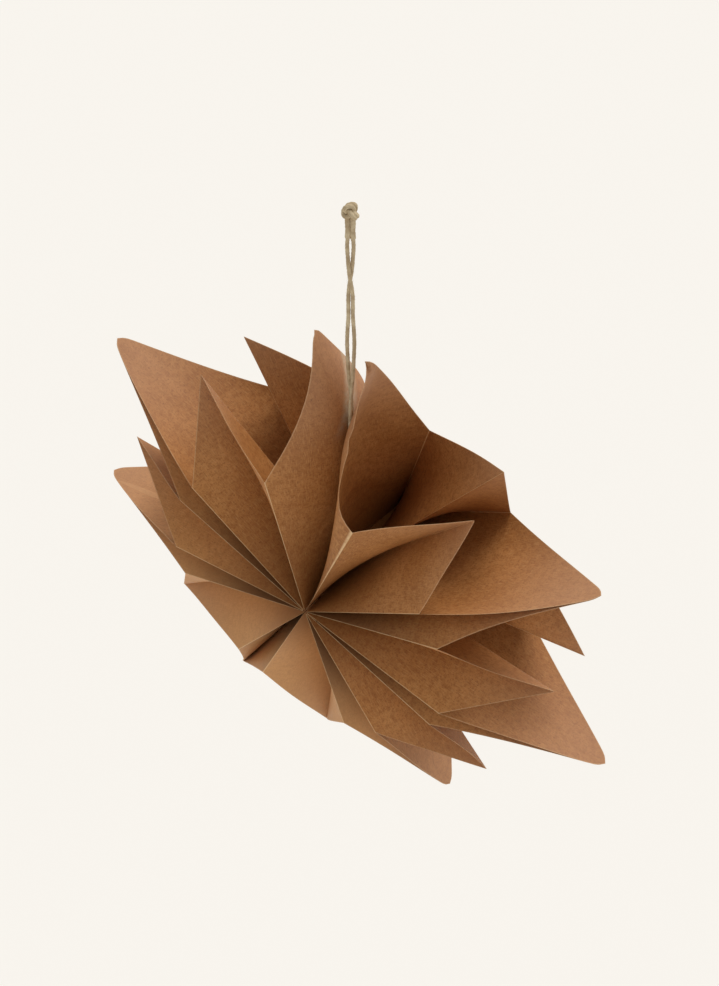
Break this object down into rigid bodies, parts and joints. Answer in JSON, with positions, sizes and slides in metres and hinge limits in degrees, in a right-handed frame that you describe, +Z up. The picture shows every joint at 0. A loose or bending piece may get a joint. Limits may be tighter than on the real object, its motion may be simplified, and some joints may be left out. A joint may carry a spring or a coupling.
{
  "type": "hanging paper star",
  "caption": "Round hanging star of gusseted kraft paper bags glued side by side, cut to points and fanned to a full circle, on a knotted loop of twine.",
  "frame": {"origin": "the place where the loop of twine bears on what it hangs from, below the knot", "axes": "+Z up along the loop and the star's seam, -Y the way the star's face looks, +X to the right seen from the front"},
  "size_m": [0.2887, 0.0734, 0.3686],
  "materials": {
    "kraft_paper": "matt brown kraft paper",
    "twine": "dry natural fibre twine"
  },
  "bodies": {
    "root": {"bag_1": "kraft_paper", "bag_2": "kraft_paper", "bag_3": "kraft_paper", "bag_4": "kraft_paper", "bag_5": "kraft_paper", "bag_6": "kraft_paper", "bag_7": "kraft_paper", "twine_1": "twine", "twine_2": "twine", "knot": "twine"}
  },
  "joints": []
}
